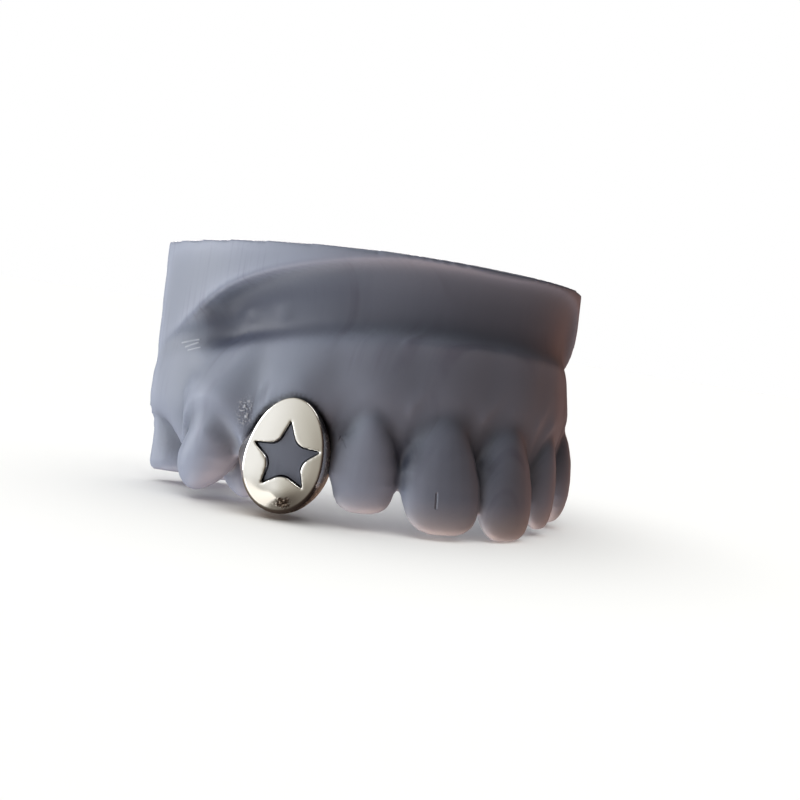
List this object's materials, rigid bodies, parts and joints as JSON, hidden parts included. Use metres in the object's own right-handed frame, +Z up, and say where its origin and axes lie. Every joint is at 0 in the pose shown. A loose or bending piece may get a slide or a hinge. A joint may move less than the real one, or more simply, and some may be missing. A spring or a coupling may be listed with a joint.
{
  "type": "tooth grill cap on dental cast",
  "caption": "Egg-faced silver tooth cap with a star-shaped window, seated on the canine of a printed horseshoe dental cast of the upper jaw.",
  "frame": {"origin": "on the surface that the tooth tips stand on, under the middle of the object's box", "axes": "+Z up from the tooth tips to the flat base, -Y towards the front of the mouth, the capped canine on the -X side"},
  "size_m": [0.05, 0.03, 0.0274],
  "materials": {
    "resin": "satin blue-grey printing resin",
    "silver": "polished silver face, cast sides left rougher"
  },
  "bodies": {
    "root": {"dental_cast": "resin", "tooth_cap": "silver"}
  },
  "joints": []
}
